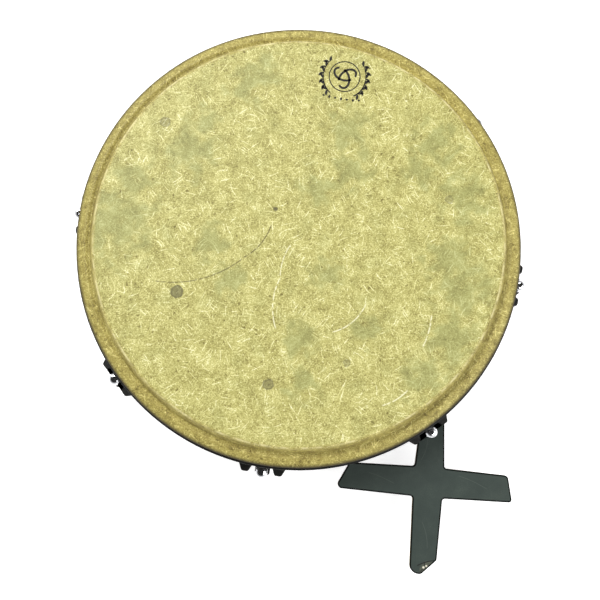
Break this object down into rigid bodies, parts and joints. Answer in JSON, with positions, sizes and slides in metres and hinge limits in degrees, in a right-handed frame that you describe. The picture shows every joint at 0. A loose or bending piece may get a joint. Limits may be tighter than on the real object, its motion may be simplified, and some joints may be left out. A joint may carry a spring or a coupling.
{
  "type": "bodhran",
  "caption": "Shallow round frame drum with a fibre-look film head, hex-key rods around a hidden tension hoop, a crossed bar inside and a flat cross-shaped plate held at one rod.",
  "frame": {"origin": "on the drum's axis, in the plane of the shell's back rim that the drum rests on", "axes": "+Z along the drum's axis towards the head; +X to the right and +Y to the top of the head as its printed mark is read"},
  "size_m": [0.4736, 0.5674, 0.1148],
  "materials": {
    "shell_wood": "dark stained, satin lacquer",
    "head_film": "satin film with pressed-in fibres",
    "black_steel": "gloss black",
    "flesh_hoop": "satin",
    "steel": "zinc plated",
    "brass": "turned",
    "chrome": "polished",
    "black_cast": "black powder coat",
    "bar_wood": "oiled",
    "laminate": "matte grey-green laminate"
  },
  "bodies": {
    "drum": {"shell": "shell_wood", "head_film": "head_film", "lug_bracket_1": "black_cast", "lug_bracket_2": "black_cast", "lug_bracket_3": "black_cast", "lug_bracket_4": "black_cast", "lug_bracket_5": "black_cast", "lug_bracket_6": "black_cast", "lug_bracket_7": "black_cast", "lug_bracket_8": "black_cast", "lug_nuts": "brass", "lug_screws": "steel", "lug_screw_washers": "steel", "crossbar_lower": "bar_wood", "crossbar_upper": "bar_wood", "crossbar_screws": "steel"},
    "hoop": {"counterhoop": "black_steel", "flesh_hoop": "flesh_hoop", "hoop_ear_1": "black_steel", "hoop_ear_2": "black_steel", "hoop_ear_3": "black_steel", "hoop_ear_4": "black_steel", "hoop_ear_5": "black_steel", "hoop_ear_6": "black_steel", "hoop_ear_7": "black_steel", "hoop_ear_8": "black_steel", "rod_washers": "steel", "plate_washer": "steel", "plate_nut": "steel"},
    "plate": {"cross_plate": "laminate"},
    "rod_1": {"tension_rod_1": "chrome"},
    "rod_2": {"tension_rod_2": "chrome"},
    "rod_3": {"tension_rod_3": "chrome"},
    "rod_4": {"tension_rod_4": "chrome"},
    "rod_5": {"tension_rod_5": "chrome"},
    "rod_6": {"tension_rod_6": "chrome"},
    "rod_7": {"tension_rod_7": "chrome"},
    "rod_8": {"tension_rod_8": "chrome"}
  },
  "joints": [
    {"name": "hoop_slide", "type": "slide", "parent": "drum", "child": "hoop", "axis": [0, 0, -1], "range_m": [0, 0.005]},
    {"name": "rod_turn_1", "type": "hinge", "parent": "hoop", "child": "rod_1", "pos_m": [0.18817, 0.13571, 0.0574], "axis": [0, 0, -1], "range_deg": [0, 1704]},
    {"name": "rod_turn_2", "type": "hinge", "parent": "hoop", "child": "rod_2", "pos_m": [0.03709, 0.22902, 0.0574], "axis": [0, 0, -1], "range_deg": [0, 1704]},
    {"name": "rod_turn_3", "type": "hinge", "parent": "hoop", "child": "rod_3", "pos_m": [-0.13571, 0.18817, 0.0574], "axis": [0, 0, -1], "range_deg": [0, 1704]},
    {"name": "rod_turn_4", "type": "hinge", "parent": "hoop", "child": "rod_4", "pos_m": [-0.22902, 0.03709, 0.0574], "axis": [0, 0, -1], "range_deg": [0, 1704]},
    {"name": "rod_turn_5", "type": "hinge", "parent": "hoop", "child": "rod_5", "pos_m": [-0.18817, -0.13571, 0.0574], "axis": [0, 0, -1], "range_deg": [0, 1704]},
    {"name": "rod_turn_6", "type": "hinge", "parent": "hoop", "child": "rod_6", "pos_m": [-0.03709, -0.22902, 0.0574], "axis": [0, 0, -1], "range_deg": [0, 1704]},
    {"name": "rod_turn_7", "type": "hinge", "parent": "hoop", "child": "rod_7", "pos_m": [0.13571, -0.18817, 0.0574], "axis": [0, 0, -1], "range_deg": [0, 1704]},
    {"name": "rod_turn_8", "type": "hinge", "parent": "hoop", "child": "rod_8", "pos_m": [0.22902, -0.03709, 0.0574], "axis": [0, 0, -1], "range_deg": [0, 1704]},
    {"name": "plate_swivel", "type": "hinge", "parent": "hoop", "child": "plate", "pos_m": [0.13571, -0.18817, 0.0492], "axis": [0, 0, 1], "range_deg": [-8, 60]}
  ],
  "couplings": [
    {"joint": "rod_turn_1", "follows": "hoop_slide", "rad_per_m": 5936.9},
    {"joint": "rod_turn_2", "follows": "hoop_slide", "rad_per_m": 5936.9},
    {"joint": "rod_turn_3", "follows": "hoop_slide", "rad_per_m": 5936.9},
    {"joint": "rod_turn_4", "follows": "hoop_slide", "rad_per_m": 5936.9},
    {"joint": "rod_turn_5", "follows": "hoop_slide", "rad_per_m": 5936.9},
    {"joint": "rod_turn_6", "follows": "hoop_slide", "rad_per_m": 5936.9},
    {"joint": "rod_turn_7", "follows": "hoop_slide", "rad_per_m": 5936.9},
    {"joint": "rod_turn_8", "follows": "hoop_slide", "rad_per_m": 5936.9}
  ]
}
